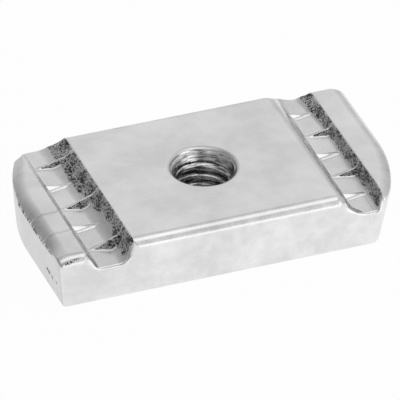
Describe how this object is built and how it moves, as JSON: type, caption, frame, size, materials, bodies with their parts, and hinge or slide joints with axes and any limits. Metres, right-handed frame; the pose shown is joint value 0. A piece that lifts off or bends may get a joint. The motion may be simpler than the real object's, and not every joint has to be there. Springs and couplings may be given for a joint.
{
  "type": "channel nut",
  "caption": "Oblong steel channel nut with a tapped hole, toothed lip grooves near its ends and corners rounded on one diagonal so it turns and locks in a strut channel.",
  "frame": {"origin": "centre of the underside, on the thread axis", "axes": "+X along the length, +Y across the width, +Z along the thread axis from the underside to the toothed side"},
  "size_m": [0.035, 0.019, 0.0058],
  "materials": {
    "zinc_plated_steel": "bright zinc plating over pressed steel, dull and torn on the groove walls"
  },
  "bodies": {
    "root": {"channel_nut": "zinc_plated_steel"}
  },
  "joints": []
}
